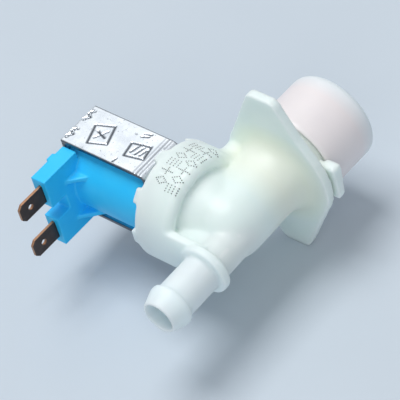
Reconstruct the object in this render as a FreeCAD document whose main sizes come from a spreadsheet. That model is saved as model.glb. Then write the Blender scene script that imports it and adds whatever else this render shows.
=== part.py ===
import FreeCAD, Part
import os
import re

import Sketcher

# Washing machine water inlet valve, in millimetres.
# The origin is where the inlet axis meets the face that seats on the cabinet panel.
# X runs from the coil towards the front of the drum, Y out through the inlet, and Z up.

SIZES = [
    # Axes: the coil axis passes behind the panel face, and "along" is counted on it from the drum's rim
    ("coil_drop", 23.8),
    ("drum_reach", 21.5),
    ("outlet_shift", 4.6),
    # Drum, dome and inlet pipe of the moulded body
    ("drum_radius", 17.0),
    ("rim_along", 2.2),
    ("drum_length", 14.5),
    ("drum_edge", 2.8),
    ("groove_in", 3.8),
    ("groove_half", 0.8),
    ("groove_depth", 1.3),
    ("dome_past", 2.5),
    ("dome_top", 9.0),
    ("pipe_radius", 10.2),
    ("end_flat", 0.15),
    ("tooth_count", 8),
    ("tooth_width", 4.4),
    ("tooth_length", 1.7),
    ("tooth_depth", 2.1),
    ("bridge_radius", 6.0),
    ("bridge_back", 12.1),
    # Panel flange with its two wings, and the bayonet lugs behind it
    ("flange_thick", 2.8),
    ("flange_disc", 17.0),
    ("wing_height", 28.0),
    ("wing_half", 4.4),
    ("wing_round", 3.0),
    ("wing_corner", 2.8),
    ("wing_side_out", 6.0),
    ("wing_side_up", 24.4),
    ("waist_out", 10.0),
    ("waist_up", 16.4),
    ("shoulder_out", 14.9),
    ("shoulder_up", 8.6),
    ("edge_out", 15.9),
    ("edge_up", 6.0),
    ("foot_blend", 5.0),
    ("lug_gap", 0.9),
    ("lug_thick", 2.2),
    ("lug_reach", 17.6),
    ("lug_half", 5.7),
    ("lug_round", 1.2),
    # Inlet stub with its thread, water ways and seat
    ("neck_radius", 11.8),
    ("thread_start", 5.2),
    ("thread_radius", 13.1),
    ("stub_end", 22.2),
    ("stub_chamfer", 1.0),
    ("mouth_radius", 10.0),
    ("mouth_floor", 7.5),
    ("bore_radius", 8.2),
    ("bore_floor", 15.0),
    ("socket_wall", 2.0),
    ("socket_depth", 6.9),
    ("chamber_step", 2.6),
    ("chamber_depth", 11.5),
    ("seat_along", 7.5),
    ("seat_radius", 6.0),
    ("seat_bore", 4.2),
    ("passage_half", 5.0),
    ("passage_start", 9.0),
    ("passage_inner", 8.4),
    ("passage_outer", 12.2),
    # Outlet spout
    ("tube_radius", 5.7),
    ("collar_radius", 7.6),
    ("collar_in", 2.4),
    ("collar_thick", 2.8),
    ("collar_round", 0.7),
    ("web_half", 6.4),
    ("web_start", 10.0),
    ("web_thick", 2.3),
    ("fill_half", 5.2),
    ("fill_in", 1.6),
    ("barb_start", 29.6),
    ("barb_radius", 6.6),
    ("barb_land", 1.6),
    ("spout_end", 35.9),
    ("spout_tip", 5.0),
    ("outlet_bore", 4.4),
    # Transport cap over the thread
    ("cap_clear", 0.2),
    ("cap_wall", 0.65),
    ("cap_start", 3.6),
    ("cap_gap", 0.4),
    ("cap_end_wall", 1.1),
    ("cap_round", 3.4),
    # Strainer and flow regulator in the inlet
    ("strainer_clear", 0.15),
    ("strainer_rim", 1.2),
    ("strainer_end", 14.2),
    ("strainer_body", 7.6),
    ("strainer_wall", 0.9),
    ("strainer_slots", 10),
    ("strainer_slot_half", 1.1),
    ("strainer_slot_start", 9.8),
    ("strainer_slot_end", 12.7),
    ("strainer_pull", 2.2),
    ("strainer_pull_length", 2.8),
    ("regulator_top", 1.0),
    ("regulator_washer", 3.0),
    ("regulator_washer_radius", 7.2),
    ("regulator_washer_hole", 2.2),
    ("regulator_seat", 2.4),
    ("regulator_seat_hole", 3.0),
    ("regulator_clear", 0.08),
    # Guide tube, diaphragm, pilot disc and plunger, along the coil axis from the drum's rim
    ("guide_clear", 0.15),
    ("guide_back", 1.2),
    ("guide_face", 4.6),
    ("pilot_step", 3.25),
    ("pilot_floor", 2.1),
    ("guide_outer", 5.6),
    ("guide_inner", 4.6),
    ("guide_end", 26.6),
    ("guide_end_wall", 1.0),
    ("soft_gap", 0.1),
    ("bead_clear", 0.3),
    ("bead_width", 1.8),
    ("membrane_start", 5.7),
    ("membrane_thick", 1.0),
    ("membrane_hole", 3.35),
    ("pad_outer", 6.6),
    ("disc_radius", 8.0),
    ("disc_thick", 1.1),
    ("disc_hub", 3.1),
    ("disc_hub_end", 8.9),
    ("pilot_nub", 1.7),
    ("pilot_nub_height", 0.3),
    ("pilot_hole", 0.6),
    ("plunger_play", 0.1),
    ("plunger_front", 2.6),
    ("plunger_rear", 18.2),
    ("spring_pocket", 2.8),
    ("spring_pocket_end", 10.7),
    ("seal_radius", 2.4),
    ("seal_depth", 2.6),
    ("spring_radius", 2.1),
    ("spring_wire", 0.28),
    ("spring_turns", 7),
    # Yoke: strap, end plate and flux bushes
    ("yoke_half", 7.45),
    ("yoke_gap", 0.75),
    ("sheet", 1.2),
    ("yoke_front", 1.1),
    ("yoke_rear", 29.9),
    ("bend_round", 2.2),
    ("finger_half", 2.2),
    ("finger_at", 3.7),
    ("finger_proud", 0.15),
    ("plate_clear", 0.05),
    ("bush_outer", 6.95),
    ("bush_clear", 0.05),
    ("bush_wall", 1.2),
    ("bush_length", 9.5),
    # Coil: bobbin, winding, blue housing and terminals
    ("coil_play", 0.2),
    ("bobbin_wall", 0.85),
    ("bobbin_flange", 10.7),
    ("bobbin_flange_thick", 1.2),
    ("winding_gap", 0.1),
    ("winding_outer", 10.3),
    ("housing_inner", 10.85),
    ("housing_radius", 12.15),
    ("wall_set_in", 0.7),
    ("wall_thick", 5.0),
    ("wall_out", 21.2),
    ("wall_in", 7.7),
    ("wall_half", 12.4),
    ("slot_half", 2.6),
    ("slot_floor", 15.7),
    ("rib_at", 7.0),
    ("rib_drop", 0.7),
    ("rib_thick", 1.3),
    ("rib_out", 14.7),
    ("rib_length", 6.2),
    ("pad_step", 0.8),
    ("pad_from", 11.3),
    ("pad_to", 13.9),
    ("pad_down", 4.0),
    ("tab_set_in", 3.4),
    ("tab_thick", 0.8),
    ("tab_width", 6.3),
    ("tab_at", 7.1),
    ("tab_root", 14.0),
    ("tab_tip", 30.55),
    ("tab_chamfer", 1.3),
    ("tab_hole", 0.85),
    ("tab_hole_back", 4.0),
    ("tab_clear", 0.05),
    # Places that follow from the sizes above
    ("yoke_outer", "=housing_radius + yoke_gap + sheet"),
    ("wall_rear", "=yoke_rear - wall_set_in"),
    ("wall_front", "=wall_rear - wall_thick"),
    ("rib_end", "=wall_front - rib_length"),
    ("tab_along", "=yoke_rear - tab_set_in"),
]

doc = FreeCAD.newDocument("inlet_valve")
sheet = doc.addObject("Spreadsheet::Sheet", "Sizes")
for row, (alias, value) in enumerate(SIZES, 1):
    sheet.set(f"A{row}", alias)
    sheet.set(f"B{row}", str(value))
    sheet.setAlias(f"B{row}", alias)
doc.recompute()


def ref(formula):
    """Point every size named in a formula at its cell."""
    return re.sub(r"[a-z][a-z_]*", lambda word: "Sizes." + word.group(0), formula)


def bind(thing, **formulas):
    """Drive properties from the sheet; a name such as Placement__x drives the placement."""
    for prop, formula in formulas.items():
        thing.setExpression(prop.replace("Placement__", "Placement.Base."), ref(formula))


def new_body(name, along=None, drop=None, up=None):
    body = doc.addObject("PartDesign::Body", name)
    for prop, formula in (("x", along), ("y", drop), ("z", up)):
        if formula:
            bind(body, **{"Placement__" + prop: formula})
    return body


def coil_body(name):
    """A body whose local X is the coil axis, counted from the drum's rim."""
    return new_body(name, "-drum_reach", "-coil_drop")


def outline(body, name, role, corners):
    """A closed sketch of straight lines with every corner bound to the sheet."""
    sketch = body.newObject("Sketcher::SketchObject", name)
    plane = next(f for f in body.Origin.OriginFeatures if f.Role == role)
    sketch.AttachmentSupport = [(plane, "")]
    sketch.MapMode = "FlatFace"
    count = len(corners)
    turn = FreeCAD.Rotation(FreeCAD.Vector(0, 0, 1), 360.0 / count)
    start = FreeCAD.Vector(20, 5, 0)
    for line in range(count):
        end = turn.multVec(start)
        sketch.addGeometry(Part.LineSegment(start, end), False)
        start = end
    for line in range(count):
        sketch.addConstraint(Sketcher.Constraint("Coincident", line, 2, (line + 1) % count, 1))
    for line, corner in enumerate(corners):
        for kind, axis, formula in (("DistanceX", -2, corner[0]), ("DistanceY", -1, corner[1])):
            if formula == "0":
                sketch.addConstraint(Sketcher.Constraint("PointOnObject", line, 1, axis))
                continue
            point = sketch.getPoint(line, 1)
            value = point.x if kind == "DistanceX" else point.y
            number = sketch.addConstraint(Sketcher.Constraint(kind, -1, 1, line, 1, value))
            sketch.setExpression(f"Constraints[{number}]", ref(formula))
    doc.recompute()
    return sketch


def revolve(body, sketch, axis):
    turned = body.newObject("PartDesign::Revolution", sketch.Name + "_turned")
    turned.Profile = sketch
    turned.ReferenceAxis = (sketch, [axis])
    turned.Angle = 360
    doc.recompute()
    return turned


def coil_turned(name, corners):
    """A turned piece on the coil axis; corners are (along, radius)."""
    body = coil_body(name)
    revolve(body, outline(body, name + "_profile", "XY_Plane", corners), "H_Axis")
    return body


def inlet_turned(name, corners, shift=None):
    """A turned piece on the inlet axis, or a parallel one; corners are (radius, along Y)."""
    body = new_body(name, shift)
    revolve(body, outline(body, name + "_profile", "XY_Plane", corners), "V_Axis")
    return body


def extrude(kind, body, sketch, length, middle=False, back=False):
    feature = body.newObject("PartDesign::" + kind, sketch.Name + "_" + kind.lower())
    feature.Profile = sketch
    bind(feature, Length=length)
    feature.Midplane = middle
    feature.Reversed = back
    doc.recompute()
    return feature


def round_edges(body, radius, wanted, kind="Fillet", size="Radius"):
    """Fillet or chamfer the edges of the body's tip that pass the test."""
    tip = body.Tip
    names = [f"Edge{n}" for n, edge in enumerate(tip.Shape.Edges, 1) if wanted(edge)]
    if not names:
        raise RuntimeError("no edge found on " + body.Name)
    feature = body.newObject("PartDesign::" + kind, body.Name + "_" + kind.lower())
    feature.Base = (tip, names)
    bind(feature, **{size: radius})
    doc.recompute()
    return feature


def ring_at(axis, place, radius):
    """A test for the circle round an axis at one place along it."""
    def test(edge):
        curve = edge.Curve
        if not isinstance(curve, Part.Circle):
            return False
        centre = getattr(edge.CenterOfMass, axis)
        return abs(curve.Radius - radius) < 0.01 and abs(centre - place) < 0.01
    return test


def corner_at(first, second, axes):
    """A test for the straight edge that stands at one point of a plane."""
    def test(edge):
        ends = [getattr(vertex.Point, axis) for vertex in edge.Vertexes for axis in axes]
        return len(ends) == 4 and max(
            abs(ends[0] - first), abs(ends[2] - first), abs(ends[1] - second), abs(ends[3] - second)
        ) < 0.01
    return test


def pattern(body, name, feature, role, count):
    """Repeat a feature round one of the body's axes."""
    repeat = body.newObject("PartDesign::PolarPattern", name)
    repeat.Originals = [feature]
    repeat.Axis = (next(f for f in body.Origin.OriginFeatures if f.Role == role), [""])
    repeat.Angle = 360
    bind(repeat, Occurrences=count)
    body.Tip = repeat
    doc.recompute()


def block(name, low, high):
    """A box between two corners, each given as three formulas."""
    box = doc.addObject("Part::Box", name)
    sides = zip(("Length", "Width", "Height"), "xyz", low, high)
    for side, axis, start, end in sides:
        bind(box, **{side: f"({end}) - ({start})", "Placement__" + axis: start})
    return box


def rod(name, radius, length, direction, place):
    """A cylinder from a place along a direction."""
    cylinder = doc.addObject("Part::Cylinder", name)
    cylinder.Placement.Rotation = FreeCAD.Rotation(FreeCAD.Vector(0, 0, 1), FreeCAD.Vector(*direction))
    bind(cylinder, Radius=radius, Height=length)
    for axis, formula in zip("xyz", place):
        bind(cylinder, **{"Placement__" + axis: formula})
    return cylinder


def fuse(name, shapes):
    joined = doc.addObject("Part::MultiFuse", name)
    joined.Shapes = shapes
    joined.Refine = True
    doc.recompute()
    return joined


def common(name, shapes):
    shared = doc.addObject("Part::MultiCommon", name)
    shared.Shapes = shapes
    doc.recompute()
    return shared


def cut(name, base, tool):
    left = doc.addObject("Part::Cut", name)
    left.Base = base
    left.Tool = tool
    left.Refine = True
    doc.recompute()
    return left


def size(name):
    return float(sheet.get(name))


# Moulded valve body: the drum with its dome, and the teeth on its rim
groove = "drum_radius - groove_in"
tooth_inner = "drum_radius - tooth_depth"
socket = "drum_radius - socket_wall"
drum = coil_turned("drum_form", [
    ("rim_along", "0"),
    ("rim_along", "drum_radius"),
    ("drum_length", "drum_radius"),
    ("drum_length", f"{groove} + groove_half"),
    ("drum_length - groove_depth", groove),
    ("drum_length", f"{groove} - groove_half"),
    ("drum_reach + dome_past", "dome_top"),
    ("drum_reach + dome_past", "0"),
])
round_edges(drum, "drum_edge", ring_at("x", size("drum_length"), size("drum_radius")))
tooth_sketch = outline(drum, "tooth_outline", "YZ_Plane", [
    ("-tooth_width / 2", tooth_inner),
    ("tooth_width / 2", tooth_inner),
    ("tooth_width / 2", "drum_radius - drum_edge / 10"),
    ("-tooth_width / 2", "drum_radius - drum_edge / 10"),
])
tooth_sketch.setExpression("AttachmentOffset.Base.z", ref("rim_along - tooth_length"))
tooth = extrude("Pad", drum, tooth_sketch, "tooth_length + drum_edge / 2")
pattern(drum, "teeth", tooth, "X_Axis", "tooth_count")

# Inlet pipe with its rounded end, the blend into the flange, and the threaded stub
inlet = inlet_turned("inlet_form", [
    ("0", "-coil_drop - pipe_radius"),
    ("pipe_radius", "-coil_drop - pipe_radius"),
    ("pipe_radius", "-flange_thick"),
    ("pipe_radius + foot_blend", "-flange_thick"),
    ("pipe_radius + foot_blend", "-flange_thick / 2"),
    ("neck_radius", "-flange_thick / 2"),
    ("neck_radius", "thread_start"),
    ("thread_radius", "thread_start + (thread_radius - neck_radius)"),
    ("thread_radius", "stub_end - stub_chamfer"),
    ("thread_radius - stub_chamfer", "stub_end"),
    ("0", "stub_end"),
])
round_edges(inlet, "pipe_radius - end_flat",
            ring_at("y", -size("coil_drop") - size("pipe_radius"), size("pipe_radius")))
round_edges(inlet, "foot_blend - end_flat", ring_at("y", -size("flange_thick"), size("pipe_radius")))

# Flange: a round plate with one wing up and one down, each the other turned half round
wings = new_body("wing_form")
half = [
    ("-wing_half", "wing_height"),
    ("wing_half", "wing_height"),
    ("wing_side_out", "wing_side_up"),
    ("waist_out", "waist_up"),
    ("shoulder_out", "shoulder_up"),
    ("edge_out", "-edge_up"),
]
turned_half = [(f"-({across})", f"-({up})") for across, up in half]
extrude("Pad", wings, outline(wings, "wing_outline", "XZ_Plane", half + turned_half), "flange_thick")
for side in (1, -1):
    across = side * size("wing_half")
    up = side * size("wing_height")
    round_edges(wings, "wing_round", corner_at(across, up, "xz"))
    round_edges(wings, "wing_corner", corner_at(-across, up, "xz"))
disc = rod("disc_form", "flange_disc", "flange_thick", (0, -1, 0), ("0", "0", "0"))

# Lugs behind the flange, which the panel slot lets through before the valve is turned
lugs = []
for side in ("-", ""):
    lug = new_body("lug_form")
    corners = [
        ("0", "-lug_half"),
        (side + "lug_reach", "-lug_half"),
        (side + "lug_reach", "lug_half"),
        ("0", "lug_half"),
    ]
    bind(lug, Placement__y="lug_gap")
    extrude("Pad", lug, outline(lug, "lug_outline", "XZ_Plane", corners), "lug_thick", back=True)
    reach = size("lug_reach") * (-1 if side else 1)
    for up in (size("lug_half"), -size("lug_half")):
        round_edges(lug, "lug_round", corner_at(reach, up, "xz"))
    lugs.append(lug)

# Outlet spout with its hose barb, and the collar that the drum wall runs on to as a curved web
spout = inlet_turned("spout_form", [
    ("0", "-coil_drop"),
    ("tube_radius", "-coil_drop"),
    ("tube_radius", "-coil_drop - barb_start"),
    ("barb_radius", "-coil_drop - barb_start"),
    ("barb_radius", "-coil_drop - barb_start - barb_land"),
    ("spout_tip", "-coil_drop - spout_end"),
    ("0", "-coil_drop - spout_end"),
], "outlet_shift")
collar_level = "collar_in - coil_drop - drum_radius"
collar = inlet_turned("collar_form", [
    ("0", collar_level),
    ("collar_radius", collar_level),
    ("collar_radius", f"{collar_level} - collar_thick"),
    ("0", f"{collar_level} - collar_thick"),
], "outlet_shift")
collar_top = size("collar_in") - size("coil_drop") - size("drum_radius")
for place in (collar_top, collar_top - size("collar_thick")):
    round_edges(collar, "collar_round", ring_at("y", place, size("collar_radius")))
web_ring = coil_turned("web_ring_form", [
    ("web_start", "drum_radius - web_thick"),
    ("web_start", "drum_radius"),
    ("drum_reach + outlet_shift", "drum_radius"),
    ("drum_reach + outlet_shift", "drum_radius - web_thick"),
])
web_limit = block("web_limit_form",
                  ("web_start - drum_reach", "-coil_drop - drum_radius", "-web_half"),
                  ("outlet_shift", "-coil_drop", "web_half"))
web = common("web_form", [web_ring, web_limit])
fill = block("fill_form",
             ("web_start - drum_reach", "fill_in - coil_drop - drum_radius", "-fill_half"),
             ("outlet_shift", "-coil_drop", "fill_half"))
bridge = rod("bridge_form", "bridge_radius", "coil_drop - flange_thick / 2", (0, 1, 0),
             ("-bridge_back", "-coil_drop", "0"))
pipes = fuse("body_pipes", [drum, inlet, bridge])
outlet_arm = fuse("body_outlet", [spout, collar, web, fill])
solid = fuse("body_solid", [pipes, outlet_arm, wings, disc, *lugs])

# Water ways: inlet mouth and bore, diaphragm chamber round the seat, and the outlet channel
chamber = coil_turned("chamber_form", [
    ("0", "0"),
    ("0", tooth_inner),
    ("rim_along", tooth_inner),
    ("rim_along", socket),
    ("socket_depth", socket),
    ("socket_depth", f"{socket} - chamber_step"),
    ("chamber_depth", f"{socket} - chamber_step"),
    ("chamber_depth", "seat_radius"),
    ("seat_along", "seat_radius"),
    ("seat_along", "0"),
])
mouth = rod("mouth_form", "mouth_radius", "stub_end - mouth_floor", (0, 1, 0), ("0", "mouth_floor", "0"))
bore = rod("bore_form", "bore_radius", "stub_end + bore_floor", (0, 1, 0), ("0", "-bore_floor", "0"))
passage = block("passage_form",
                ("passage_start - drum_reach", "passage_inner - coil_drop", "-passage_half"),
                ("0", "passage_outer - coil_drop", "passage_half"))
channel = rod("channel_form", "seat_bore", "drum_reach + outlet_shift", (1, 0, 0),
              ("-drum_reach", "-coil_drop", "0"))
outlet = rod("outlet_form", "outlet_bore", "spout_end", (0, -1, 0), ("outlet_shift", "-coil_drop", "0"))
hollow = fuse("body_hollow", [chamber, mouth, bore, passage, channel, outlet])
valve_body = cut("valve_body", solid, hollow)

# Transport cap, a thin blown cup pushed over the thread
inlet_cap = inlet_turned("inlet_cap", [
    ("thread_radius + cap_clear", "cap_start"),
    ("thread_radius + cap_clear + cap_wall", "cap_start"),
    ("thread_radius + cap_clear + cap_wall", "stub_end + cap_gap + cap_end_wall"),
    ("0", "stub_end + cap_gap + cap_end_wall"),
    ("0", "stub_end + cap_gap"),
    ("thread_radius - cap_wall", "stub_end + cap_gap"),
    ("thread_radius + cap_clear", "stub_end - stub_chamfer"),
])
cap_top = size("stub_end") + size("cap_gap") + size("cap_end_wall")
cap_radius = size("thread_radius") + size("cap_clear") + size("cap_wall")
round_edges(inlet_cap, "cap_round", ring_at("y", cap_top, cap_radius))

# Strainer: a slotted cup with a pull knob, held by its rim on the floor of the mouth
inlet_strainer = inlet_turned("inlet_strainer", [
    ("strainer_body - strainer_wall", "mouth_floor + strainer_clear"),
    ("mouth_radius - strainer_clear", "mouth_floor + strainer_clear"),
    ("mouth_radius - strainer_clear", "mouth_floor + strainer_clear + strainer_rim"),
    ("strainer_body", "mouth_floor + strainer_clear + strainer_rim"),
    ("strainer_body", "strainer_end"),
    ("strainer_pull", "strainer_end"),
    ("strainer_pull", "strainer_end + strainer_pull_length"),
    ("0", "strainer_end + strainer_pull_length"),
    ("0", "strainer_end - strainer_wall"),
    ("strainer_body - strainer_wall", "strainer_end - strainer_wall"),
])
slot_sketch = outline(inlet_strainer, "strainer_slot_outline", "YZ_Plane", [
    ("strainer_slot_start", "-strainer_slot_half"),
    ("strainer_slot_end", "-strainer_slot_half"),
    ("strainer_slot_end", "strainer_slot_half"),
    ("strainer_slot_start", "strainer_slot_half"),
])
slot = extrude("Pocket", inlet_strainer, slot_sketch, "mouth_radius")
pattern(inlet_strainer, "strainer_slots", slot, "Y_Axis", "strainer_slots")

# Flow regulator: a rubber washer that bends over a seat pressed into the inlet bore
flow_regulator_washer = inlet_turned("flow_regulator_washer", [
    ("regulator_washer_hole", "regulator_top - regulator_washer"),
    ("regulator_washer_radius", "regulator_top - regulator_washer"),
    ("regulator_washer_radius", "regulator_top"),
    ("regulator_washer_hole", "regulator_top"),
])
seat_top = "regulator_top - regulator_washer - soft_gap"
flow_regulator_seat = inlet_turned("flow_regulator_seat", [
    ("regulator_seat_hole", f"{seat_top} - regulator_seat"),
    ("bore_radius - regulator_clear", f"{seat_top} - regulator_seat"),
    ("bore_radius - regulator_clear", seat_top),
    ("regulator_seat_hole", seat_top),
])

# Guide tube: the closed tube the plunger runs in, with the flange that shuts the drum
guide_edge = f"{socket} - guide_clear"
guide_tube = coil_turned("guide_tube", [
    ("-guide_end", "0"),
    ("-guide_end", "guide_outer"),
    ("guide_back", "guide_outer"),
    ("guide_back", guide_edge),
    ("guide_face", guide_edge),
    ("guide_face", f"{guide_edge} - pilot_step"),
    ("pilot_floor", f"{guide_edge} - pilot_step"),
    ("pilot_floor", "guide_inner"),
    ("guide_end_wall - guide_end", "guide_inner"),
    ("guide_end_wall - guide_end", "0"),
])

# Diaphragm: a rubber membrane with a clamped bead and a pad that shuts the seat
bead_outer = f"{socket} - bead_clear"
bead_inner = f"{bead_outer} - bead_width"
diaphragm = coil_turned("diaphragm", [
    ("guide_face + soft_gap", bead_inner),
    ("guide_face + soft_gap", bead_outer),
    ("socket_depth - soft_gap", bead_outer),
    ("socket_depth - soft_gap", bead_inner),
    ("membrane_start + membrane_thick", bead_inner),
    ("membrane_start + membrane_thick", "pad_outer"),
    ("seat_along - soft_gap", "pad_outer"),
    ("seat_along - soft_gap", "membrane_hole"),
    ("membrane_start", "membrane_hole"),
    ("membrane_start", bead_inner),
])

# Pilot disc: the stiff middle of the diaphragm, with the pilot hole the plunger shuts
disc_back = "membrane_start - soft_gap"
disc_front = f"{disc_back} - disc_thick"
diaphragm_insert = coil_turned("diaphragm_insert", [
    (f"{disc_front} - pilot_nub_height", "pilot_hole"),
    (f"{disc_front} - pilot_nub_height", "pilot_nub"),
    (disc_front, "pilot_nub"),
    (disc_front, "disc_radius"),
    (disc_back, "disc_radius"),
    (disc_back, "disc_hub"),
    ("disc_hub_end", "disc_hub"),
    ("disc_hub_end", "pilot_hole"),
])

# Plunger with its rubber tip and return spring
plunger = coil_turned("plunger", [
    ("-plunger_rear", "spring_pocket"),
    ("-plunger_rear", "guide_inner - plunger_play"),
    ("plunger_front", "guide_inner - plunger_play"),
    ("plunger_front", "seal_radius + soft_gap"),
    ("plunger_front - seal_depth", "seal_radius + soft_gap"),
    ("plunger_front - seal_depth", "0"),
    ("-spring_pocket_end", "0"),
    ("-spring_pocket_end", "spring_pocket"),
])
plunger_seal = coil_turned("plunger_seal", [
    ("plunger_front - seal_depth + soft_gap", "0"),
    ("plunger_front - seal_depth + soft_gap", "seal_radius"),
    (f"{disc_front} - pilot_nub_height - soft_gap", "seal_radius"),
    (f"{disc_front} - pilot_nub_height - soft_gap", "0"),
])
spring_start = "guide_end_wall - guide_end + spring_wire + soft_gap"
spring_length = f"-spring_pocket_end - spring_wire - soft_gap - ({spring_start})"
helix = doc.addObject("Part::Helix", "spring_path")
helix.Placement.Rotation = FreeCAD.Rotation(FreeCAD.Vector(0, 0, 1), FreeCAD.Vector(1, 0, 0))
bind(helix, Radius="spring_radius", Height=spring_length, Pitch=f"({spring_length}) / spring_turns",
     Placement__x=f"{spring_start} - drum_reach", Placement__y="-coil_drop")
wire = doc.addObject("Part::Circle", "spring_section")
wire.Placement.Rotation = FreeCAD.Rotation(FreeCAD.Vector(0, 0, 1), FreeCAD.Vector(0, 1, 0))
bind(wire, Radius="spring_wire", Placement__x=f"{spring_start} - drum_reach",
     Placement__y="-coil_drop", Placement__z="-spring_radius")
return_spring = doc.addObject("Part::Sweep", "return_spring")
return_spring.Sections = [wire]
return_spring.Spine = (helix, ["Edge1"])
return_spring.Solid = True
return_spring.Frenet = True
doc.recompute()

# Yoke: a strap bent round the coil, closed by an end plate whose fingers are staked in it
strap = coil_body("strap_form")
strap_outline = outline(strap, "strap_outline", "XZ_Plane", [
    ("-yoke_rear", "yoke_outer"),
    ("yoke_front", "yoke_outer"),
    ("yoke_front", "-yoke_outer"),
    ("-yoke_rear", "-yoke_outer"),
    ("-yoke_rear", "sheet - yoke_outer"),
    ("yoke_front - sheet", "sheet - yoke_outer"),
    ("yoke_front - sheet", "yoke_outer - sheet"),
    ("-yoke_rear", "yoke_outer - sheet"),
])
extrude("Pad", strap, strap_outline, "2 * yoke_half", middle=True)
for up in (size("yoke_outer"), -size("yoke_outer")):
    inner = up - size("sheet") if up > 0 else up + size("sheet")
    round_edges(strap, "bend_round", corner_at(size("yoke_front"), up, "xz"))
    round_edges(strap, "bend_round - sheet", corner_at(size("yoke_front") - size("sheet"), inner, "xz"))
rear = "-drum_reach - yoke_rear"
bush_hole = rod("bush_hole_form", "bush_outer + bush_clear", "yoke_rear + yoke_front + sheet", (1, 0, 0),
                (f"{rear} - sheet / 2", "-coil_drop", "0"))
notches = []
fingers = []
for side in ("-", ""):
    low = f"-coil_drop + {side}finger_at - finger_half"
    high = f"-coil_drop + {side}finger_at + finger_half"
    notches.append(block("notch_form",
                         (f"{rear} - sheet", f"{low} - plate_clear", "-yoke_outer - sheet"),
                         (f"{rear} + sheet + plate_clear", f"{high} + plate_clear", "yoke_outer + sheet")))
    fingers.append(block("finger_form",
                         (rear, low, "-yoke_outer - finger_proud"),
                         (f"{rear} + sheet", high, "yoke_outer + finger_proud")))
yoke_strap = cut("yoke_strap", strap, fuse("strap_cuts", [bush_hole, *notches]))
plate = block("plate_form",
              (rear, "-coil_drop - yoke_half", "sheet + plate_clear - yoke_outer"),
              (f"{rear} + sheet", "yoke_half - coil_drop", "yoke_outer - sheet - plate_clear"))
yoke_end_plate = cut("yoke_end_plate", fuse("plate_solid", [plate, *fingers]), bush_hole)

# Flux bushes, the steel sleeves that carry the field from the yoke to the plunger
bushes = []
for name, start, end in (
    ("flux_bush_front", "yoke_front - bush_length", "yoke_front - bush_clear"),
    ("flux_bush_rear", "bush_clear - yoke_rear", "bush_length - yoke_rear"),
):
    bushes.append(coil_turned(name, [
        (start, "bush_outer - bush_wall"),
        (start, "bush_outer"),
        (end, "bush_outer"),
        (end, "bush_outer - bush_wall"),
    ]))

# Coil: bobbin, copper winding, and the blue housing moulded over them with its terminal wall
coil_rear = "sheet + coil_play - yoke_rear"
coil_front = "yoke_front - sheet - coil_play"
barrel = "bush_outer + coil_play + bobbin_wall"
coil_bobbin = coil_turned("coil_bobbin", [
    (coil_rear, "bush_outer + coil_play"),
    (coil_rear, "bobbin_flange"),
    (f"{coil_rear} + bobbin_flange_thick", "bobbin_flange"),
    (f"{coil_rear} + bobbin_flange_thick", barrel),
    (f"{coil_front} - bobbin_flange_thick", barrel),
    (f"{coil_front} - bobbin_flange_thick", "bobbin_flange"),
    (coil_front, "bobbin_flange"),
    (coil_front, "bush_outer + coil_play"),
])
winding = coil_turned("winding", [
    (f"{coil_rear} + bobbin_flange_thick + winding_gap", f"{barrel} + winding_gap"),
    (f"{coil_rear} + bobbin_flange_thick + winding_gap", "winding_outer"),
    (f"{coil_front} - bobbin_flange_thick - winding_gap", "winding_outer"),
    (f"{coil_front} - bobbin_flange_thick - winding_gap", f"{barrel} + winding_gap"),
])
jacket = coil_turned("jacket_form", [
    (coil_rear, "housing_inner"),
    (coil_rear, "housing_radius"),
    (coil_front, "housing_radius"),
    (coil_front, "housing_inner"),
])
wall = block("wall_form",
             ("-drum_reach - wall_rear", "-coil_drop - wall_out", "-wall_half"),
             ("-drum_reach - wall_front", "-coil_drop - wall_in", "wall_half"))
step = block("step_form",
             ("-drum_reach - wall_rear - pad_step", "-coil_drop - pad_to", "wall_half - pad_down"),
             ("-drum_reach - wall_rear", "-coil_drop - pad_from", "wall_half"))
ribs = []
for side in ("-", ""):
    rib = new_body("rib_form", "-drum_reach", "-coil_drop", side + "rib_at - rib_drop")
    rib_outline = outline(rib, "rib_outline", "XY_Plane", [
        ("-wall_front - sheet", "-rib_out"),
        ("-wall_front", "-rib_out"),
        ("-rib_end", "-wall_in - sheet"),
        ("-wall_front - sheet", "-wall_in - sheet"),
    ])
    extrude("Pad", rib, rib_outline, "rib_thick", middle=True)
    ribs.append(rib)
coil_space = rod("coil_space_form", "housing_inner", "yoke_rear", (1, 0, 0),
                 (f"-drum_reach + {coil_rear}", "-coil_drop", "0"))
gap = block("gap_form",
            ("-drum_reach - wall_rear - pad_step", "-coil_drop - wall_out - sheet", "-slot_half"),
            ("-drum_reach - wall_front + sheet", "-coil_drop - slot_floor", "slot_half"))
tab_slots = []
for side in ("-", ""):
    up = side + "tab_at"
    tab_slots.append(block("tab_slot_form",
                           ("-drum_reach - tab_along - tab_thick / 2 - tab_clear",
                            "-coil_drop - wall_out - sheet",
                            f"{up} - tab_width / 2 - tab_clear"),
                           ("-drum_reach - tab_along + tab_thick / 2 + tab_clear",
                            "tab_clear - coil_drop - tab_root",
                            f"{up} + tab_width / 2 + tab_clear")))
coil_housing = cut("coil_housing",
                   fuse("housing_solid", [jacket, wall, step, *ribs]),
                   fuse("housing_hollow", [coil_space, gap, *tab_slots]))

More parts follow.
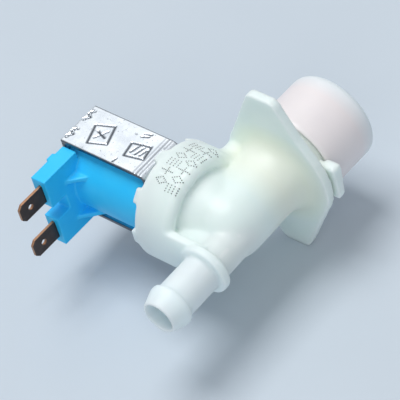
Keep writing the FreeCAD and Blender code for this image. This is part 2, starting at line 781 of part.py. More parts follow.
# Terminals: flat blades with bevelled tips and a latching hole
terminals = []
for name, side in (("terminal_upper", ""), ("terminal_lower", "-")):
    blade = new_body(name + "_form", "-drum_reach - tab_along", "-coil_drop", side + "tab_at")
    blade_outline = outline(blade, name + "_outline", "YZ_Plane", [
        ("-tab_root", "-tab_width / 2"),
        ("-tab_root", "tab_width / 2"),
        ("tab_chamfer - tab_tip", "tab_width / 2"),
        ("-tab_tip", "tab_width / 2 - tab_chamfer"),
        ("-tab_tip", "tab_chamfer - tab_width / 2"),
        ("tab_chamfer - tab_tip", "-tab_width / 2"),
    ])
    extrude("Pad", blade, blade_outline, "tab_thick", middle=True)
    hole = rod(name + "_hole_form", "tab_hole", "2 * tab_thick", (1, 0, 0),
               ("-drum_reach - tab_along - tab_thick", "-coil_drop - tab_tip + tab_hole_back", side + "tab_at"))
    terminals.append(cut(name, blade, hole))

nodes = [
    valve_body, inlet_cap, inlet_strainer, flow_regulator_washer, flow_regulator_seat,
    guide_tube, diaphragm, diaphragm_insert, plunger, plunger_seal, return_spring,
    yoke_strap, yoke_end_plate, *bushes, coil_bobbin, winding, coil_housing, *terminals,
]
for thing in doc.Objects:
    if "Invalid" in thing.State or "Error" in thing.State:
        raise RuntimeError(f"{thing.Label} did not build: {thing.State}")
os.makedirs("parts", exist_ok=True)
for node in nodes:
    if node.Shape.isNull() or not node.Shape.isValid():
        raise RuntimeError(f"{node.Label} has no valid shape")
    node.Shape.exportStep(f"parts/{node.Label}.step")
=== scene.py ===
import math

import bmesh
import bpy
import numpy as np
from mathutils import Matrix, Vector
from mathutils.bvhtree import BVHTree


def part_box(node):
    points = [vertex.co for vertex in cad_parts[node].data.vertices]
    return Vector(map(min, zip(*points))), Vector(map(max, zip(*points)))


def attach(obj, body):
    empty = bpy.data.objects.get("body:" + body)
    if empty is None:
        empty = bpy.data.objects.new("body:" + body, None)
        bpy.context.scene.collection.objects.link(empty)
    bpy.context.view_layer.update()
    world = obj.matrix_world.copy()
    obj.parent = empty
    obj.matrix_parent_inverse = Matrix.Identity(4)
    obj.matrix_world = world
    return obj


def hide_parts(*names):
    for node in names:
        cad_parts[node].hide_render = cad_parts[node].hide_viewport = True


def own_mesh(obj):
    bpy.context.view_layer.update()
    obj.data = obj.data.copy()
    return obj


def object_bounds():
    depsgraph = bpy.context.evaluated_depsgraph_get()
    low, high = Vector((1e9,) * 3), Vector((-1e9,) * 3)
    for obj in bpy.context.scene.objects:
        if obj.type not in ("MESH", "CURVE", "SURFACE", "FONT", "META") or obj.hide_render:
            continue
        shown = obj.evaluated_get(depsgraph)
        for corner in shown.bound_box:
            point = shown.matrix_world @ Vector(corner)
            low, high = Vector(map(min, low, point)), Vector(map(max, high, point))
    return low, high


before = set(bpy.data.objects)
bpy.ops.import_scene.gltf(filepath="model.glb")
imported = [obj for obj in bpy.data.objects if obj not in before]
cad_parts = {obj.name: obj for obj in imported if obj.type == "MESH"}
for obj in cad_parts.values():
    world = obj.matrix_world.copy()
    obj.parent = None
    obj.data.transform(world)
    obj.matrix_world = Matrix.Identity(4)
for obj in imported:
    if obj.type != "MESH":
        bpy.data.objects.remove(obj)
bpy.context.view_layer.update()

# Valve body: one moulding of natural nylon with the drum, the inlet pipe, the panel flange, the
# threaded stub and the barbed outlet. It leaves the mould with every joint between them rounded,
# and all the other pieces are pushed, clipped or staked onto it.
MM = 0.001
BODY_VOXEL = 0.44 * MM
BODY_SMOOTHING = 4
JOINT_SMOOTHING = 30
SADDLE_SMOOTHING = 110
RELAX_STEP = 0.5
MERGE_DISTANCE = 0.002 * MM
EDGE_WEAR_AND_SHEEN_FROM = 0.52
EDGE_WEAR_AND_SHEEN_TO = 0.62
GLOSS_SPREAD = 0.06


def linear(code):
    """An sRGB hex colour as linear red, green, blue and alpha."""
    channels = [int(code[place:place + 2], 16) / 255 for place in (1, 3, 5)]
    return [c / 12.92 if c <= 0.04045 else ((c + 0.055) / 1.055) ** 2.4 for c in channels] + [1.0]


def add(tree, kind, sockets=None, **settings):
    """Add a node; a socket gets either a value or a link from another node's output."""
    node = tree.nodes.new(kind)
    for name, value in settings.items():
        setattr(node, name, value)
    for key, value in (sockets or {}).items():
        if isinstance(value, bpy.types.NodeSocket):
            tree.links.new(value, node.inputs[key])
        else:
            node.inputs[key].default_value = value
    return node


def finish(name, tones, cloud_mm, grain_mm, depth_mm, roughness, edge, edge_share, **shader):
    """A surface that clouds between two tones, has a fine grain, and takes an edge colour on its convex
    edges: wear on some finishes, painted highlight on others.
    """
    material = bpy.data.materials.new(name)
    material.use_nodes = True
    tree = material.node_tree
    tree.nodes.clear()
    place = add(tree, "ShaderNodeTexCoord").outputs["Object"]
    cloud = add(tree, "ShaderNodeTexNoise",
                {"Vector": place, "Scale": 1 / (cloud_mm * MM), "Detail": 3.0}).outputs["Fac"]
    tone = add(tree, "ShaderNodeMix", {0: cloud, 6: linear(tones[0]), 7: linear(tones[1])},
               data_type="RGBA").outputs[2]
    # Convex edges take the edge colour: rubbed wear on some finishes, painted highlight on others, such
    # as the blue housing.
    corner = add(tree, "ShaderNodeNewGeometry").outputs["Pointiness"]
    edge_wear_and_sheen = add(tree, "ShaderNodeMapRange",
               {"Value": corner, "From Min": EDGE_WEAR_AND_SHEEN_FROM, "From Max": EDGE_WEAR_AND_SHEEN_TO,
                "To Max": edge_share}).outputs[0]
    worn_and_sheened = add(tree, "ShaderNodeMix", {0: edge_wear_and_sheen, 6: tone, 7: linear(edge)}, data_type="RGBA").outputs[2]
    grain = add(tree, "ShaderNodeTexNoise",
                {"Vector": place, "Scale": 1 / (grain_mm * MM), "Detail": 4.0}).outputs["Fac"]
    bump = add(tree, "ShaderNodeBump",
               {"Height": grain, "Distance": depth_mm * MM, "Strength": 1.0}).outputs[0]
    gloss = add(tree, "ShaderNodeMapRange",
                {"Value": cloud, "To Min": roughness - GLOSS_SPREAD,
                 "To Max": roughness + GLOSS_SPREAD}).outputs[0]
    skin = add(tree, "ShaderNodeBsdfPrincipled",
               {"Base Color": worn_and_sheened, "Roughness": gloss, "Normal": bump,
                **{key.replace("_", " "): value for key, value in shader.items()}})
    add(tree, "ShaderNodeOutputMaterial", {"Surface": skin.outputs[0]})
    return material


def lay_over(material, share, colour):
    """Put another colour over a finish, by a share that a node gives."""
    tree = material.node_tree
    skin = next(node for node in tree.nodes if node.type == "BSDF_PRINCIPLED")
    under = skin.inputs["Base Color"].links[0].from_socket
    both = add(tree, "ShaderNodeMix", {0: share, 6: under, 7: linear(colour)}, data_type="RGBA")
    tree.links.new(both.outputs[2], skin.inputs["Base Color"])


def put(name, data):
    """An object in the scene that holds a mesh, a lamp or a camera."""
    thing = bpy.data.objects.new(name, data)
    bpy.context.scene.collection.objects.link(thing)
    return thing


def new_piece(name, mesh, material, body, slot, *nodes):
    """Put a mesh in the scene as one piece of the object, in place of the CAD nodes named."""
    piece = put(name, mesh)
    if material:
        mesh.materials.clear()
        mesh.materials.append(material)
    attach(piece, body)
    if nodes:
        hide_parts(*nodes)
    return piece


def merged_mesh(node):
    """A CAD node's triangles, joined at their corners."""
    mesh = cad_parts[node].data.copy()
    joined = bmesh.new()
    joined.from_mesh(mesh)
    bmesh.ops.remove_doubles(joined, verts=joined.verts, dist=MERGE_DISTANCE)
    joined.to_mesh(mesh)
    joined.free()
    return mesh


def baked(holder):
    """The plain mesh that an object's modifiers give; the object itself goes."""
    evaluated = holder.evaluated_get(bpy.context.evaluated_depsgraph_get())
    mesh = bpy.data.meshes.new_from_object(evaluated)
    bpy.data.objects.remove(holder)
    return mesh


def worked_mesh(mesh, *steps):
    """A mesh after modifiers, each given as its kind and settings."""
    holder = put("work", mesh)
    for kind, settings in steps:
        modifier = holder.modifiers.new(kind, kind)
        for name, value in settings.items():
            setattr(modifier, name, value)
    return baked(holder)


def soft_moulding(node, voxel, smoothing):
    """A CAD node with the rounded edges and joints of a moulding."""
    mesh = worked_mesh(merged_mesh(node),
                       ("REMESH", {"mode": "VOXEL", "voxel_size": voxel, "use_smooth_shade": True}),
                       ("SMOOTH", {"factor": 0.5, "iterations": smoothing}))
    mesh.shade_smooth()
    return mesh


def read_points(mesh):
    """The places of a mesh's vertices as rows of x, y and z."""
    points = np.empty(len(mesh.vertices) * 3)
    mesh.vertices.foreach_get("co", points)
    return points.reshape(-1, 3)


def relax(mesh, points, share, rounds):
    """Smooth the points of a mesh, each by its own share."""
    ends = np.empty(len(mesh.edges) * 2, dtype=np.int32)
    mesh.edges.foreach_get("vertices", ends)
    others = ends.reshape(-1, 2)[:, ::-1].ravel()
    count = np.bincount(ends, minlength=len(points))
    for _ in range(rounds):
        for axis in range(3):
            total = np.bincount(ends, weights=points[others, axis], minlength=len(points))
            points[:, axis] += RELAX_STEP * share * (total / count - points[:, axis])


def ramp(values, start, end):
    """How far values have come from the start to the end, from 0 to 1."""
    return np.clip((values - start) / (end - start), 0, 1)


# Injection-moulded nylon is milky: light goes a few millimetres in, so shadows stay pale, and
# its satin skin waves a little where it shrank. The thick foot of the flange looks creamier. The thin
# outlet is laid over with a lighter, bluer colour: partly the tint of its thin wall, partly painted
# light that brightens its shaded bore.
nylon = finish("nylon_natural_moulded", ("#EAF4F1", "#DDECE9"), cloud_mm=14, grain_mm=3.5,
               depth_mm=0.06, roughness=0.44, edge="#F0F8F6", edge_share=0.4, IOR=1.53,
               Subsurface_Weight=0.85, Subsurface_Radius=(1.0, 1.0, 0.95), Subsurface_Scale=3 * MM)
FOOT_MIDDLE = (0.0, -4 * MM, 0.0)
FOOT_FROM = 12 * MM
FOOT_TO = 18 * MM
SPOUT_FROM = -46 * MM
SPOUT_TO = -38 * MM
body_place = add(nylon.node_tree, "ShaderNodeTexCoord").outputs["Object"]
foot_distance = add(nylon.node_tree, "ShaderNodeVectorMath", {0: body_place, 1: FOOT_MIDDLE},
                    operation="DISTANCE").outputs["Value"]
thick_share = add(nylon.node_tree, "ShaderNodeMapRange",
                  {"Value": foot_distance, "From Min": FOOT_FROM, "From Max": FOOT_TO,
                   "To Min": 0.55, "To Max": 0.0}).outputs[0]
lay_over(nylon, thick_share, "#EEF1DA")
outlet_place = add(nylon.node_tree, "ShaderNodeSeparateXYZ", {"Vector": body_place}).outputs["Y"]
thin_tint_and_light_share = add(nylon.node_tree, "ShaderNodeMapRange",
                 {"Value": outlet_place, "From Min": SPOUT_FROM, "From Max": SPOUT_TO,
                  "To Min": 0.85, "To Max": 0.0}).outputs[0]
# Painted light: the outlet's lighter, bluer overlay brightens its shaded bore.
lay_over(nylon, thin_tint_and_light_share, "#E6F5FD")

# The joints in front of the drum and under the flange are the softest. Each pair of places says
# where on the body that softness starts and where it is full.
FRONT_X = (-8.4 * MM, -6.5 * MM)
FRONT_Y = (-34 * MM, -31 * MM)
SADDLE_X = (-18.5 * MM, -16.5 * MM)
SADDLE_Y = (-12 * MM, -10 * MM)
GROOVE_END_X = (-10.5 * MM, -9 * MM)
GROOVE_END_Y = (-16.5 * MM, -14.5 * MM)
UNDER_FLANGE_Y = (-2.8 * MM, -4.5 * MM)
body_mesh = soft_moulding("valve_body", BODY_VOXEL, BODY_SMOOTHING)
points = read_points(body_mesh)
x, y, z = points.T
front = ramp(x, *FRONT_X) * ramp(y, *FRONT_Y)
saddle = ramp(x, *SADDLE_X) * ramp(y, *SADDLE_Y)
groove_end = ramp(x, *GROOVE_END_X) * ramp(y, *GROOVE_END_Y)
under_flange = ramp(y, *UNDER_FLANGE_Y)
relax(body_mesh, points, np.maximum(saddle, groove_end) * under_flange, SADDLE_SMOOTHING)
relax(body_mesh, points, front * under_flange, JOINT_SMOOTHING)

# The stub has a pipe thread, and the neck below it is nearly as wide. The two lugs on the neck rise
# like ramps outside the cap, to pull the flange tight against its panel.
THREAD_PITCH = 1.814 * MM
THREAD_DEPTH = 0.95 * MM
THREAD_FROM = 6.4 * MM
THREAD_TO = 21.0 * MM
THREAD_ROOT = 12.4 * MM
NECK_RADIUS = 13.0 * MM
NECK_FROM = 0.3 * MM
NECK_TO = 5.0 * MM
BORE_LIMIT = 11.0 * MM
LUG_RISE = 1.1 * MM
LUG_HALF = 5.7 * MM
LUG_RADII = (14.1 * MM, 14.5 * MM)
LUG_HEIGHTS = (1.4 * MM, 3.0 * MM)
around = np.hypot(x, z)
turns = np.arctan2(z, x) / (2 * math.pi)
wave = np.abs(((y / THREAD_PITCH - turns) % 1.0) * 2 - 1)
on_thread = (around > THREAD_ROOT) & (y > THREAD_FROM) & (y < THREAD_TO)
on_neck = (around > BORE_LIMIT) & (y > NECK_FROM) & (y < NECK_TO)
scale = np.ones(len(points))
scale[on_thread] -= THREAD_DEPTH * wave[on_thread] / around[on_thread]
scale[on_neck] = np.maximum(around[on_neck], NECK_RADIUS) / around[on_neck]
x *= scale
z *= scale
on_lug = ramp(around, *LUG_RADII) * ramp(y, *LUG_HEIGHTS)
y += LUG_RISE * on_lug * ramp(z * np.sign(x), -LUG_HALF, LUG_HALF)
body_mesh.vertices.foreach_set("co", points.ravel())
body = new_piece("moulded_body", body_mesh, nylon, "valve", "natural_plastic", "valve_body")

# Drum print: two rows of plain dotted marks, jetted onto the round side of the drum in grey ink.
# The dots are separate drops that stand about a tenth of a millimetre proud, which is more than
# real ink does, so that they show.
low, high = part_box("diaphragm")
DRUM_AXIS_Y = (low.y + high.y) / 2
RIM_X = -21.5 * MM
DRUM_RADIUS = 17.0 * MM
DOT_RADIUS = 0.28 * MM
DOT_SINK = 0.16 * MM
DOT_ALONG = 0.58 * MM
DOT_ACROSS = 0.52 * MM
MARK_PITCH = 3.05 * MM
# Each mark is a list of dots, by column and row.
MARK_SHAPES = {
    "diamond": [(2, 0), (1.3, 1), (2.7, 1), (0.7, 2), (3.3, 2), (0, 3),
                (4, 3), (0.7, 4), (3.3, 4), (1.3, 5), (2.7, 5), (2, 6)],
    "plus": [(column, 3) for column in range(5)] + [(2, row) for row in range(7) if row != 3],
    "net": [(column, row) for column in (0, 1.3, 2.7, 4) for row in (0, 2, 4, 6)],
}
# Each row has its distance from the drum's rim, the angle of its first mark, and its marks.
MARK_ROWS = [
    (5.2 * MM, 116, ["diamond", "plus", "net", "diamond", "plus", "net"]),
    (9.6 * MM, 120, ["net", "diamond", "plus", "diamond", "net", "plus", "diamond"]),
]
skin = BVHTree.FromObject(body, bpy.context.evaluated_depsgraph_get())
dots = []
for start, first_angle, marks in MARK_ROWS:
    for number, mark in enumerate(marks):
        for column, row in MARK_SHAPES[mark]:
            arc = (number * MARK_PITCH + column * DOT_ACROSS) / DRUM_RADIUS
            angle = math.radians(first_angle) - arc
            outward = Vector((0.0, math.cos(angle), math.sin(angle)))
            middle = Vector((RIM_X + start + row * DOT_ALONG, DRUM_AXIS_Y, 0.0))
            hit = skin.ray_cast(middle + 2 * DRUM_RADIUS * outward, -outward)[0]
            dots.append(hit - DOT_SINK * outward)
# Jet-printed ink soaks into the skin, so it is grey and uneven.
ink = finish("ink_jet_printed", ("#474D4C", "#2E3332"), cloud_mm=1.5, grain_mm=0.3, depth_mm=0.01,
             roughness=0.6, edge="#7B8381", edge_share=0.3)
drops = bpy.data.node_groups.new("ink_drops", "GeometryNodeTree")
drops.interface.new_socket("Geometry", in_out="INPUT", socket_type="NodeSocketGeometry")
drop_size = drops.interface.new_socket("Drop radius", in_out="INPUT", socket_type="NodeSocketFloat")
drops.interface.new_socket("Geometry", in_out="OUTPUT", socket_type="NodeSocketGeometry")
given = add(drops, "NodeGroupInput")
drop = add(drops, "GeometryNodeMeshIcoSphere",
           {"Radius": given.outputs["Drop radius"], "Subdivisions": 1})
placed = add(drops, "GeometryNodeInstanceOnPoints",
             {"Points": given.outputs["Geometry"], "Instance": drop.outputs["Mesh"]})
real = add(drops, "GeometryNodeRealizeInstances", {"Geometry": placed.outputs["Instances"]})
inked = add(drops, "GeometryNodeSetMaterial", {"Geometry": real.outputs["Geometry"], "Material": ink})
add(drops, "NodeGroupOutput", {"Geometry": inked.outputs["Geometry"]})
dot_mesh = bpy.data.meshes.new("drum_print")
dot_mesh.from_pydata(dots, [], [])
dot_holder = put("drum_print_points", dot_mesh)
dot_modifier = dot_holder.modifiers.new("ink_drops", "NODES")
dot_modifier.node_group = drops
dot_modifier[drop_size.identifier] = DOT_RADIUS
print_mesh = baked(dot_holder)
print_mesh.shade_smooth()
new_piece("drum_print", print_mesh, None, "valve", "natural_plastic")


# Flow regulator and strainer: a rubber washer on a moulded seat deep in the inlet bore, and a
# slotted cup of white acetal in front of them that keeps grit out. All three push in by hand.
def dress(material, *nodes):
    """Give CAD nodes that are shown as they are their real material."""
    for node in nodes:
        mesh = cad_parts[node].data
        mesh.materials.clear()
        mesh.materials.append(material)


# Moulded acetal is dense, opaque white with a waxy shine.
acetal = finish("acetal_white_moulded", ("#E9E9E4", "#DCDDD8"), cloud_mm=5, grain_mm=0.5, depth_mm=0.01,
                roughness=0.4, edge="#F4F4F0", edge_share=0.5, IOR=1.48)
# Moulded rubber is matt and nearly black, greyer where it was rubbed.
rubber = finish("rubber_black_moulded", ("#1E1E1F", "#2A2A2B"), cloud_mm=4, grain_mm=0.4, depth_mm=0.02,
                roughness=0.75, edge="#3A3A3B", edge_share=0.5)
dress(acetal, "inlet_strainer", "flow_regulator_seat")
dress(rubber, "flow_regulator_washer")

# Transport cap: a thin polyethylene cup pushed over the thread to keep it clean until the hose
# goes on. It is blow-formed, so its end is rounded and its wall is a little uneven.
low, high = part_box("inlet_cap")
CAP_RIM = low.y
CAP_END = high.y
CAP_RADIUS = high.x
CAP_WALL = 0.65 * MM
CAP_END_WALL = 0.8 * MM
CAP_ROUND = 3.2 * MM
CAP_ROUND_STEPS = 8
CAP_LIP = 0.3 * MM
CAP_BAND = 2 * MM
CAP_DISH = 0.35 * MM
CAP_DISH_HALFWAY = 0.7 * CAP_DISH
CAP_WAVE = 0.05 * MM
CAP_WAVES_AROUND = 3
CAP_WAVE_TWIST = 4 * MM
CAP_STEPS = 128
CAP_MERGE = 0.001 * MM


def cap_corner(radius):
    """The rounded corner between the cap's wall and its end, as radius and place along the axis."""
    corner = []
    for step in range(CAP_ROUND_STEPS + 1):
        angle = math.pi / 2 * step / CAP_ROUND_STEPS
        corner.append((CAP_RADIUS - CAP_ROUND + radius * math.cos(angle),
                       CAP_END - CAP_ROUND + radius * math.sin(angle)))
    return corner


profile = [
    (CAP_RADIUS - CAP_LIP, CAP_RIM),
    (CAP_RADIUS, CAP_RIM + CAP_LIP),
    (CAP_RADIUS, CAP_RIM + CAP_BAND),
    (CAP_RADIUS, (CAP_RIM + CAP_END) / 2),
    *cap_corner(CAP_ROUND),
    (CAP_RADIUS / 2, CAP_END - CAP_DISH_HALFWAY),
    (0.0, CAP_END - CAP_DISH),
    (0.0, CAP_END - CAP_DISH - CAP_END_WALL),
    *reversed(cap_corner(CAP_ROUND - CAP_WALL)),
    (CAP_RADIUS - CAP_WALL, CAP_RIM),
]
ring = bmesh.new()
verts = [ring.verts.new((radius, along, 0.0)) for radius, along in profile]
edges = [ring.edges.new((verts[i], verts[(i + 1) % len(verts)])) for i in range(len(verts))]
bmesh.ops.spin(ring, geom=verts + edges, cent=(0, 0, 0), axis=(0, 1, 0), angle=2 * math.pi,
               steps=CAP_STEPS, use_merge=True, use_duplicate=False)
bmesh.ops.remove_doubles(ring, verts=ring.verts, dist=CAP_MERGE)
bmesh.ops.dissolve_degenerate(ring, edges=ring.edges, dist=CAP_MERGE)
bmesh.ops.recalc_face_normals(ring, faces=ring.faces)
for vert in ring.verts:
    phase = CAP_WAVES_AROUND * math.atan2(vert.co.z, vert.co.x) + vert.co.y / CAP_WAVE_TWIST
    swell = 1 - CAP_WAVE / CAP_RADIUS * (1 + math.sin(phase))
    vert.co.x *= swell
    vert.co.z *= swell
cap_mesh = bpy.data.meshes.new("transport_cap")
ring.to_mesh(cap_mesh)
ring.free()
cap_mesh.shade_smooth()
# Thin polyethylene is cloudy and soft to the light; the stretched wall is faintly pink. Its end is
# laid over with a lighter, bluer colour, painted light where the end turns away from the lamp above.
polyethylene = finish("polyethylene_milky_blown", ("#F3EAEA", "#EBE3E5"), cloud_mm=9, grain_mm=4,
                      depth_mm=0.05, roughness=0.42, edge="#F4F1F2", edge_share=0.5, IOR=1.51,
                      Subsurface_Weight=0.35, Subsurface_Radius=(1.0, 0.95, 0.95),
                      Subsurface_Scale=1.2 * MM)
CAP_PAINTED_LIGHT_FROM = 17 * MM
CAP_PAINTED_LIGHT_TO = 23 * MM
cap_place = add(polyethylene.node_tree, "ShaderNodeTexCoord").outputs["Object"]
cap_along = add(polyethylene.node_tree, "ShaderNodeSeparateXYZ", {"Vector": cap_place}).outputs["Y"]
end_painted_light_share = add(polyethylene.node_tree, "ShaderNodeMapRange",
                {"Value": cap_along, "From Min": CAP_PAINTED_LIGHT_FROM, "From Max": CAP_PAINTED_LIGHT_TO}).outputs[0]
# Painted light: the end of the cap is made lighter and bluer in colour.
lay_over(polyethylene, end_painted_light_share, "#E6F1F6")
new_piece("transport_cap", cap_mesh, polyethylene, "cap", "cap_plastic", "inlet_cap")

# Valve works: the guide tube that shuts the drum, the rubber diaphragm with its stiff pilot disc,
# and the sprung steel plunger that opens the pilot hole when the coil pulls it back.
# Turned magnetic steel shows fine rings from the lathe under a thin film of oil.
turned_steel = finish("steel_magnetic_turned", ("#B9BABA", "#A3A5A6"), cloud_mm=6, grain_mm=0.35,
                      depth_mm=0.01, roughness=0.34, edge="#D5D6D6", edge_share=0.6, Metallic=1.0)
# Drawn spring wire is bright and smooth.
spring_wire = finish("steel_spring_drawn", ("#C4C6C8", "#AEB1B4"), cloud_mm=4, grain_mm=0.3,
                     depth_mm=0.005, roughness=0.26, edge="#DCDEDF", edge_share=0.5, Metallic=1.0)
dress(nylon, "guide_tube")
dress(rubber, "plunger_seal")
dress(acetal, "diaphragm_insert")
dress(turned_steel, "plunger", "flux_bush_front", "flux_bush_rear")
low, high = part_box("return_spring")
spring_mesh = merged_mesh("return_spring")
spring_mesh.shade_smooth()
spring = new_piece("plunger_spring", spring_mesh, spring_wire, "valve", "bush_steel", "return_spring")
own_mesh(spring)
low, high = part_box("diaphragm")
membrane = new_piece("rubber_diaphragm", merged_mesh("diaphragm"), rubber, "valve", "black_rubber",
                     "diaphragm")
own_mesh(membrane)

# Coil: copper wire on a blue bobbin, with a housing of the same blue plastic moulded over it.
# The housing's wall at the end carries the two terminals, braced by two small ribs.
HOUSING_VOXEL = 0.26 * MM
HOUSING_SMOOTHING = 2
# Glass-filled polyester in sky blue: satin, with slight flow clouds; its pale edge colour is painted
# highlight along the convex edges.
blue_plastic = finish("polyester_blue_moulded", ("#3ACDFF", "#18BEFF"), cloud_mm=8, grain_mm=1.2,
                      depth_mm=0.03, roughness=0.46, edge="#8FE0FF", edge_share=0.12, IOR=1.57,
                      Specular_IOR_Level=0.32)
# Enamelled copper wire glints warm between its turns.
copper = finish("copper_enamelled_wire", ("#B4622F", "#9C5226"), cloud_mm=3, grain_mm=0.3,
                depth_mm=0.03, roughness=0.3, edge="#D98A52", edge_share=0.5, Metallic=1.0)
dress(blue_plastic, "coil_bobbin")
dress(copper, "winding")
housing_mesh = soft_moulding("coil_housing", HOUSING_VOXEL, HOUSING_SMOOTHING)
new_piece("blue_housing", housing_mesh, blue_plastic, "valve", "blue_plastic", "coil_housing")

# Yoke: a zinc-plated steel strap bent round the coil, closed by an end plate whose fingers are
# staked into it. The flat top is stamped with plain frames and bars.
YOKE_VOXEL = 0.18 * MM
YOKE_SMOOTHING = 2
FLAT_DEPTH = 0.1 * MM
STAMP_DEPTH = 0.22 * MM
STAMP_HALF_WIDTH = 0.32 * MM
STAMP_FLOOR = 0.3
BEND_X = (-25.8 * MM, -24.2 * MM)
RIPPLE_PITCH = 1.2 * MM
RIPPLE_DEPTH = 0.06 * MM
RIPPLE_SHADE = 0.6
EDGE_SHADE = 0.9
EDGE_SHADE_FROM = 0.45 * MM
EDGE_SHADE_TO = 0.1 * MM


def stamped_frame(across, along, half_across, half_along, turn):
    """The four strokes of a frame on the plate, in millimetres."""
    ends = []
    for side, up in ((-1, -1), (1, -1), (1, 1), (-1, 1)):
        right, ahead = side * half_across, up * half_along
        ends.append((across + right * math.cos(turn) - ahead * math.sin(turn),
                     along + right * math.sin(turn) + ahead * math.cos(turn)))
    return [(ends[i], ends[(i + 1) % 4]) for i in range(4)]


# Each stroke runs between two places on the plate, in millimetres.
STAMP_STROKES = [
    *stamped_frame(-42.2, -24.2, 3.0, 3.4, 0.35),
    ((-43.3, -26.0), (-41.1, -22.4)),
    ((-40.5, -24.8), (-43.9, -23.6)),
    *stamped_frame(-28.8, -24.2, 3.1, 2.4, 0.2),
    ((-30.4, -25.3), (-29.6, -22.4)),
    ((-28.7, -25.4), (-27.9, -22.4)),
    ((-27.2, -25.2), (-26.5, -22.6)),
    ((-31.4, -19.4), (-29.4, -18.6)),
    ((-31.1, -18.2), (-29.1, -17.6)),
    ((-32.6, -30.4), (-32.4, -29.2)),
]
STAKE_STROKES = [
    ((-50.9, -29.2), (-49.7, -28.0)),
    ((-50.8, -27.0), (-49.5, -27.8)),
    ((-50.7, -26.3), (-49.6, -25.6)),
    ((-50.9, -21.9), (-49.7, -20.9)),
    ((-50.8, -19.7), (-49.4, -20.6)),
    ((-50.6, -18.9), (-49.7, -18.2)),
]


def stamp(mesh, strokes, top):
    """Sink strokes and bending ripples into a flat top, and paint shade into the strokes, in bands on
    the ripples and along the sheared long edges.
    """
    spots = read_points(mesh)
    nearest = np.full(len(spots), 1.0)
    for start, end in strokes:
        first = np.array(start) * MM
        run = np.array(end) * MM - first
        share = np.clip(((spots[:, :2] - first) @ run) / (run @ run), 0, 1)
        nearest = np.minimum(nearest, np.hypot(*(spots[:, :2] - first - share[:, None] * run).T))
    flat = spots[:, 2] > top - FLAT_DEPTH
    recess = np.where(flat, np.clip(1 + STAMP_FLOOR - nearest / STAMP_HALF_WIDTH, 0, 1), 0.0)
    ripple = 0.5 + 0.5 * np.sin(spots[:, 0] * 2 * math.pi / RIPPLE_PITCH)
    ripple *= np.where(flat, ramp(spots[:, 0], *BEND_X), 0.0)
    spots[:, 2] -= recess * STAMP_DEPTH + ripple * RIPPLE_DEPTH
    mesh.vertices.foreach_set("co", spots.ravel())
    # Painted shade along the long edges, on the ripples and in the strokes, kept as a point attribute.
    half = np.abs(spots[:, 1] - DRUM_AXIS_Y)
    edge = EDGE_SHADE * ramp(half, half.max() - EDGE_SHADE_FROM, half.max() - EDGE_SHADE_TO)
    painted_shade = np.maximum.reduce([recess, edge, RIPPLE_SHADE * ripple])
    mesh.attributes.new("painted_shade", "FLOAT", "POINT").data.foreach_set("value", painted_shade.astype(np.float32))


yoke_mesh = soft_moulding("yoke_strap", YOKE_VOXEL, YOKE_SMOOTHING)
stamp(yoke_mesh, STAMP_STROKES + STAKE_STROKES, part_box("yoke_strap")[1].z)
plate_mesh = soft_moulding("yoke_end_plate", YOKE_VOXEL, YOKE_SMOOTHING)
stamp(plate_mesh, STAKE_STROKES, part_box("yoke_end_plate")[1].z)
# Zinc plating is bright and faintly blue, with fine scratches along the strip and small pits.
# Painted shade darkens the stamped strokes, bands on the bend ripples and the long edges.
zinc = finish("steel_zinc_plated", ("#EFF2F5", "#BAC1C8"), cloud_mm=5, grain_mm=2.2, depth_mm=0.03,
              roughness=0.25, edge="#F2F5F7", edge_share=0.4, Metallic=1.0)
PIT_SIZE = 0.9 * MM
SCRATCH_LENGTH = 6 * MM
SCRATCH_SHAPE = (1.0, 14.0, 14.0)
plating = zinc.node_tree
yoke_place = add(plating, "ShaderNodeTexCoord").outputs["Object"]
pits = add(plating, "ShaderNodeTexNoise",
           {"Vector": yoke_place, "Scale": 1 / PIT_SIZE, "Detail": 5.0}).outputs["Fac"]
pitted = add(plating, "ShaderNodeMapRange",
             {"Value": pits, "From Min": 0.62, "From Max": 0.72, "To Max": 0.55}).outputs[0]
strip = add(plating, "ShaderNodeMapping", {"Vector": yoke_place, "Scale": SCRATCH_SHAPE}).outputs[0]
scratch = add(plating, "ShaderNodeTexNoise",
              {"Vector": strip, "Scale": 1 / SCRATCH_LENGTH, "Detail": 6.0,
               "Roughness": 0.7}).outputs["Fac"]
scratched = add(plating, "ShaderNodeMapRange",
                {"Value": scratch, "From Min": 0.6, "From Max": 0.75, "To Max": 0.35}).outputs[0]
marked = add(plating, "ShaderNodeMath", {0: pitted, 1: scratched}, operation="MAXIMUM").outputs[0]
# The painted shade joins the real pits and scratches in darkening the plating.
held_painted_shade = add(plating, "ShaderNodeAttribute", attribute_name="painted_shade").outputs["Fac"]
marks_and_painted_shade = add(plating, "ShaderNodeMath", {0: marked, 1: held_painted_shade}, operation="MAXIMUM").outputs[0]
lay_over(zinc, marks_and_painted_shade, "#4A4F57")
new_piece("stamped_yoke", yoke_mesh, zinc, "valve", "zinc_steel", "yoke_strap")
new_piece("staked_end_plate", plate_mesh, zinc, "valve", "zinc_steel", "yoke_end_plate")

# Terminals: two flat blades punched from tinned bronze strip and pushed into the housing's wall.
# Their faces have tarnished dark, and the punched edges show the bare metal.
BLADE_BEVEL = 0.1 * MM
FLAT_FACE = 0.95
# Tarnished tin is dark and dull, a little blotchy.
tarnish = finish("bronze_tinned_tarnished", ("#5A4E49", "#3F393A"), cloud_mm=2.5, grain_mm=0.3,
                 depth_mm=0.015, roughness=0.42, edge="#8A7264", edge_share=0.5, Metallic=0.7)
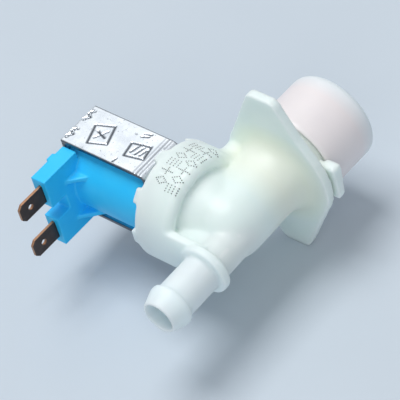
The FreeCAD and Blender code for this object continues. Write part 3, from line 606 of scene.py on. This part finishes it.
# Punched bronze is warm and shines along the cut.
bare_bronze = finish("bronze_punched_edge", ("#B0866A", "#946C52"), cloud_mm=1.5, grain_mm=0.2,
                     depth_mm=0.02, roughness=0.38, edge="#C39A7C", edge_share=0.5, Metallic=1.0)
for node in ("terminal_upper", "terminal_lower"):
    blade_mesh = worked_mesh(merged_mesh(node),
                             ("BEVEL", {"width": BLADE_BEVEL, "segments": 2, "limit_method": "ANGLE"}))
    blade_mesh.materials.clear()
    for material in (tarnish, bare_bronze):
        blade_mesh.materials.append(material)
    for face in blade_mesh.polygons:
        face.material_index = 0 if abs(face.normal.x) > FLAT_FACE else 1
    new_piece("blade_" + node, blade_mesh, None, "valve", "terminal_bronze", node)

# Floor: a plain pale sheet under the lowest point of the flange. It is wide enough to fill the
# picture from every side, and only takes the shadow.
FLOOR_HALF = 3.0
FLOOR_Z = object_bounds()[0].z
FLOOR_CORNERS = [(-1, -1), (1, -1), (1, 1), (-1, 1)]
floor_mesh = bpy.data.meshes.new("floor")
floor_mesh.from_pydata([(side * FLOOR_HALF, up * FLOOR_HALF, FLOOR_Z) for side, up in FLOOR_CORNERS],
                       [], [(0, 1, 2, 3)])
# Matt paper has no shine and hardly any grain.
paper = finish("paper_pale_matt", ("#CBD5DE", "#C6D0DA"), cloud_mm=60, grain_mm=1.0, depth_mm=0.01,
               roughness=0.9, edge="#CBD5DE", edge_share=0.0)
floor_mesh.materials.append(paper)
floor = put("floor", floor_mesh)

# Studio: one soft lamp above, weaker ones from the front and the back, and a pale room.
# The back lamp is the one that the flat top of the yoke mirrors.
AIM = Vector((-0.010, -0.018, 0.0))


def soft_lamp(name, place, size, power):
    """A square lamp that points at the middle of the valve."""
    lamp = bpy.data.lights.new(name, "AREA")
    lamp.shape = "SQUARE"
    lamp.size = size
    lamp.energy = power
    stand = put(name, lamp)
    stand.location = place
    stand.rotation_euler = (AIM - Vector(place)).to_track_quat("-Z", "Y").to_euler()


soft_lamp("key_lamp", place=(-0.17, 0.0, 0.8), size=0.45, power=4.6)
soft_lamp("fill_lamp", place=(0.5, -0.55, 0.55), size=0.6, power=1.6)
soft_lamp("back_lamp", place=(-0.5, 0.42, 0.66), size=0.3, power=0.235)
# The room lights the valve weakly, and is brighter where it is seen or mirrored.
world = bpy.data.worlds.new("pale_room")
bpy.context.scene.world = world
world.use_nodes = True
room = world.node_tree
room.nodes.clear()
ray = add(room, "ShaderNodeLightPath").outputs
mirrored = add(room, "ShaderNodeMath", {0: ray["Is Camera Ray"], 1: ray["Is Glossy Ray"]},
               operation="MAXIMUM").outputs[0]
seen = add(room, "ShaderNodeMath", {0: mirrored, 1: ray["Is Transmission Ray"]},
           operation="MAXIMUM").outputs[0]
ambient = add(room, "ShaderNodeBackground", {"Color": linear("#E8EEF4"), "Strength": 0.38})
shown = add(room, "ShaderNodeBackground", {"Color": linear("#E3E8ED"), "Strength": 0.9})
both = add(room, "ShaderNodeMixShader", {0: seen, 1: ambient.outputs[0], 2: shown.outputs[0]})
add(room, "ShaderNodeOutputWorld", {"Surface": both.outputs[0]})

# Camera: looks down on the front of the drum from the right, with a long lens, and is rolled so
# that the inlet points up to the right.
CAMERA_PLACE = Vector((376.55, -326.14, 490.12)) * MM
CAMERA_RIGHT = Vector((0.75246, 0.62453, -0.2092))
CAMERA_UP = Vector((-0.348, 0.64665, 0.67878))
CAMERA_LENS = 231.5
CAMERA_SENSOR = 36.0
CAMERA_NEAR = 0.01
camera = bpy.data.cameras.new("camera")
camera.sensor_width = CAMERA_SENSOR
camera.lens = CAMERA_LENS
camera.clip_start = CAMERA_NEAR
viewer = put("camera", camera)
axes = Matrix((CAMERA_RIGHT, CAMERA_UP, CAMERA_RIGHT.cross(CAMERA_UP))).transposed().to_4x4()
viewer.matrix_world = Matrix.Translation(CAMERA_PLACE) @ axes
bpy.context.scene.camera = viewer
bpy.context.scene.view_settings.view_transform = "Standard"
